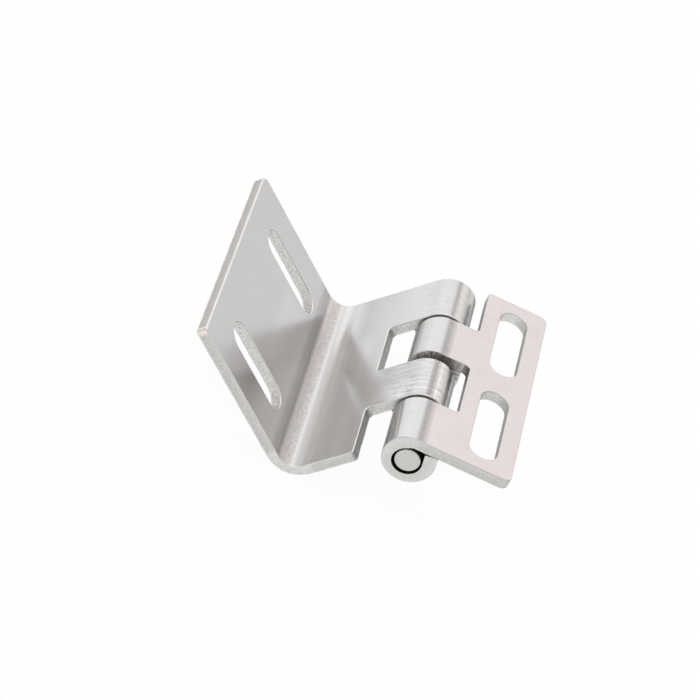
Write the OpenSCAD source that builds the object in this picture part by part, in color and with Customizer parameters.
// Cranked, slotted butt hinge in stainless sheet.
// A flat leaf and an L-shaped bracket leaf are each rolled into two eyes,
// and the four eyes interleave on one plain pin. All sizes are in millimetres.
//
// Frame: the origin is the centre of the flat leaf's slot pattern, on that
// leaf's smooth outer face. +Z is the outward normal of that face, +Y runs
// along the pin from the near end to the far end, and +X points away from
// the pin towards the flat leaf's free edge.

/* [Sheet] */
// Thickness of the sheet both leaves are made from
sheet_t = 2.5; // [2:0.1:2.8]
// Length of the hinge along its pin
hinge_len = 60; // [58:1:70]
// Radius left in the inner corners of the notches
notch_fillet = 1; // [0.5:0.25:1.25]
// Radius of the outer corner where a notch runs out at the hinge's end
notch_corner_r = 0.75; // [0.5:0.25:1]

/* [Pin] */
// Diameter of the plain part of the pin
pin_d = 5.5; // [5:0.1:5.7]
// Diameter over the two knurled bands gripped by the bracket's eyes
grip_d = 6; // [5.8:0.05:6.2]
// Interference between a band and its eye, on diameter
grip_bite = 0.02; // [0.01:0.01:0.04]
// Distance from each end of a bracket eye to the band inside it
grip_inset = 1.5; // [1:0.25:2]
// Chamfer on both ends of the pin
pin_chamfer = 0.2; // [0.1:0.05:0.8]
// How far the pin stands proud of each end of the hinge
pin_proud = 0.5; // [0:0.05:1]

/* [Eyes] */
// Bore of the flat leaf's eyes, a loose fit on the pin
flat_bore_d = 6.5; // [6.3:0.1:6.8]
// Angle above the pin's centre where the roll stops curving and runs straight
roll_straight_from = 8; // [0:1:14]
// Crevice between the end of a roll and the leaf it closes on
roll_gap = 0.1; // [0.05:0.05:0.3]

/* [Flat leaf] */
// Reach from the pin's axis to the leaf's free edge
flat_reach = 21; // [19:0.5:30]
// Depth of the notches, from the pin's axis
flat_notch = 6.75; // [6.5:0.25:8]
// End of the first eye, from the near end of the hinge
flat_eye1_end = 14.5; // [10:0.25:14.75]
// Start of the second eye
flat_eye2_start = 31.25; // [29.75:0.25:34]
// End of the second eye
flat_eye2_end = 44.75; // [40:0.25:45.25]
// Distance from the pin's axis to the slots' centre line
flat_slot_x = 13.75; // [12:0.25:15]
// Width of a slot, for an M6 screw
flat_slot_w = 6.5; // [5:0.25:7.5]
// Length of a slot from end to end
flat_slot_len = 23; // [12:1:25]
// Distance between the slots' centres
flat_slot_pitch = 30; // [27:1:31]
// Radius of the free corners
flat_corner_r = 1.75; // [0.5:0.25:3]

/* [Bracket leaf] */
// Reach from the pin's axis to the flange's outer face
web_reach = 28; // [24:0.5:40]
// Inside radius of the bend
bend_r = 4; // [3:0.25:5]
// Height of the flange, from the web's underside
flange_h = 40; // [38:1:60]
// Depth of the notches, from the pin's axis
web_notch = 10; // [8:0.25:12]
// Start of the first eye, from the near end of the hinge
web_eye1_start = 15.5; // [15:0.25:18]
// End of the first eye
web_eye1_end = 29.25; // [22:0.25:29.5]
// Start of the second eye, which runs to the far end of the hinge
web_eye2_start = 45.75; // [45.5:0.25:50]
// Width of a flange slot, for an M6 screw
flange_slot_w = 7; // [5:0.25:8]
// Length of a flange slot from end to end
flange_slot_len = 21.5; // [10:0.5:25]
// Distance between the flange slots' centre lines
flange_slot_pitch = 36; // [20:1:38]
// Height of the slots' middle, from the web's underside
flange_slot_z = 21.75; // [21:0.25:23]
// Radius of the flange's far free corner; the near one has half of it
flange_corner_r = 2; // [0.5:0.25:4]

/* [Pose] */
// Angle by which the bracket's web hangs below the flat leaf's plane
rest_angle = 49; // [-95:1:190]

/* [Hidden] */
$fn = 96;
near = -hinge_len / 2;
far = hinge_len / 2;
flat_r = flat_bore_d / 2;               // inner radius of the flat leaf's eyes
web_r = (grip_d - grip_bite) / 2;       // inner radius of the bracket's eyes
bend_outer_r = bend_r + sheet_t;
bend_x = web_reach - bend_outer_r;      // centre of the bend, where the web ends
bend_z = web_r + bend_outer_r;          // centre of the bend, where the flange starts
flange_top = web_r + flange_h;
// [start, end] of each eye along Y
flat_eyes = [[near, near + flat_eye1_end],
             [near + flat_eye2_start, near + flat_eye2_end]];
web_eyes = [[near + web_eye1_start, near + web_eye1_end],
            [near + web_eye2_start, far]];

// ---- shared shapes -------------------------------------------------------

// Sliver between a square corner at [x, y] and its rounding.
// side_x and side_y, each 1 or -1, give the quadrant it lies in.
module corner(x, y, side_x, side_y, radius) {
    translate([x, y])
        mirror([side_x < 0 ? 1 : 0, 0])
            mirror([0, side_y < 0 ? 1 : 0])
                difference() {
                    square(radius);
                    translate([radius, radius]) circle(r = radius);
                }
}

// Obround of the given width and overall length, along Y.
module obround(width, length) {
    straight = length - width;
    translate([-width / 2, -straight / 2]) square([width, straight]);
    for (side = [-1, 1])
        translate([0, side * straight / 2]) circle(d = width);
}

// Extrudes a section drawn in X and Z from one place along Y to another.
module extrude_y(start, end) {
    translate([0, end, 0]) rotate([90, 0, 0])
        linear_extrude(end - start) children();
}

// Section of a rolled eye, leaf towards +X: most of a ring, then a straight,
// square-cut end whose outer corner closes against the leaf's underside.
module eye_section(bore_r) {
    outer_r = bore_r + sheet_t;
    angle = roll_straight_from;
    end_len = (bore_r - roll_gap - outer_r * sin(angle)) / cos(angle);
    clear = 3 * outer_r; // takes the cut well past the ring
    difference() {
        circle(r = outer_r);
        circle(r = bore_r);
        polygon([[0, 0], [clear * cos(angle), clear * sin(angle)],
                 [clear, clear], [0, clear]]);
    }
    rotate(angle) translate([bore_r, 0]) square([sheet_t, end_len]);
}

module rolled_eyes(eyes, bore_r) {
    for (eye = eyes) extrude_y(eye[0], eye[1]) eye_section(bore_r);
}

// Outline of a leaf from the pin's axis to x_end: the plate behind the
// notches, and tongues that lead to the eyes, filleted into the plate.
module leaf_outline(eyes, notch, x_end) {
    translate([notch, near]) square([x_end - notch, hinge_len]);
    for (eye = eyes) {
        translate([0, eye[0]]) square([notch, eye[1] - eye[0]]);
        if (eye[0] > near) corner(notch, eye[0], -1, -1, notch_fillet);
        if (eye[1] < far) corner(notch, eye[1], -1, 1, notch_fillet);
    }
}

// ---- pieces, built around the pin's axis ----------------------------------

module flat_leaf_shape() {
    rolled_eyes(flat_eyes, flat_r);
    translate([0, 0, flat_r]) linear_extrude(sheet_t)
        difference() {
            leaf_outline(flat_eyes, flat_notch, flat_reach);
            corner(flat_reach, near, -1, 1, flat_corner_r);
            corner(flat_reach, far, -1, -1, flat_corner_r);
            corner(flat_notch, far, 1, -1, notch_corner_r);
            for (side = [-1, 1])
                translate([flat_slot_x, side * flat_slot_pitch / 2])
                    obround(flat_slot_w, flat_slot_len);
        }
}

module web() {
    translate([0, 0, web_r]) linear_extrude(sheet_t)
        difference() {
            leaf_outline(web_eyes, web_notch, bend_x);
            corner(web_notch, near, 1, 1, notch_corner_r);
        }
}

// Quarter ring from the web up to the flange.
module bend() {
    translate([bend_x, 0, bend_z]) extrude_y(near, far)
        intersection() {
            difference() {
                circle(r = bend_outer_r);
                circle(r = bend_r);
            }
            translate([0, -bend_outer_r]) square(bend_outer_r);
        }
}

// Outline drawn with the hinge's Y across and its Z up.
module flange() {
    translate([bend_x + bend_r, 0, 0]) rotate([90, 0, 90])
        linear_extrude(sheet_t)
            difference() {
                translate([near, bend_z])
                    square([hinge_len, flange_top - bend_z]);
                corner(near, flange_top, 1, -1, flange_corner_r / 2);
                corner(far, flange_top, -1, -1, flange_corner_r);
                for (side = [-1, 1])
                    translate([side * flange_slot_pitch / 2,
                               web_r + flange_slot_z])
                        obround(flange_slot_w, flange_slot_len);
            }
}

// The bracket is drawn towards +X and mirrored when it is placed.
module bracket_shape() {
    rolled_eyes(web_eyes, web_r);
    web();
    bend();
    flange();
}

module pin_shape() {
    pin_len = hinge_len + 2 * pin_proud;
    pin_r = pin_d / 2;
    tip_r = pin_r - pin_chamfer;
    translate([0, near - pin_proud, 0]) rotate([-90, 0, 0]) {
        cylinder(r1 = tip_r, r2 = pin_r, h = pin_chamfer);
        translate([0, 0, pin_chamfer])
            cylinder(r = pin_r, h = pin_len - 2 * pin_chamfer);
        translate([0, 0, pin_len - pin_chamfer])
            cylinder(r1 = pin_r, r2 = tip_r, h = pin_chamfer);
    }
    // knurled bands, drawn smooth, one inside each of the bracket's eyes
    for (eye = web_eyes)
        translate([0, eye[0] + grip_inset, 0]) rotate([-90, 0, 0])
            cylinder(d = grip_d, h = eye[1] - eye[0] - 2 * grip_inset);
}

// Moves the pin's axis to its place in the hinge's own frame.
module in_frame() {
    translate([-flat_slot_x, 0, -flat_r - sheet_t]) children();
}

// Places what turns with the bracket.
module at_rest() {
    in_frame() rotate([0, -rest_angle, 0]) children();
}

// ---- nodes -----------------------------------------------------------------

module flat_leaf() {
    color([0.86, 0.83, 0.82]) in_frame() flat_leaf_shape();
}

module bracket_leaf() {
    color([0.77, 0.76, 0.75]) at_rest() mirror([1, 0, 0]) bracket_shape();
}

module hinge_pin() {
    color([0.72, 0.72, 0.70]) at_rest() pin_shape();
}

flat_leaf();
bracket_leaf();
hinge_pin();
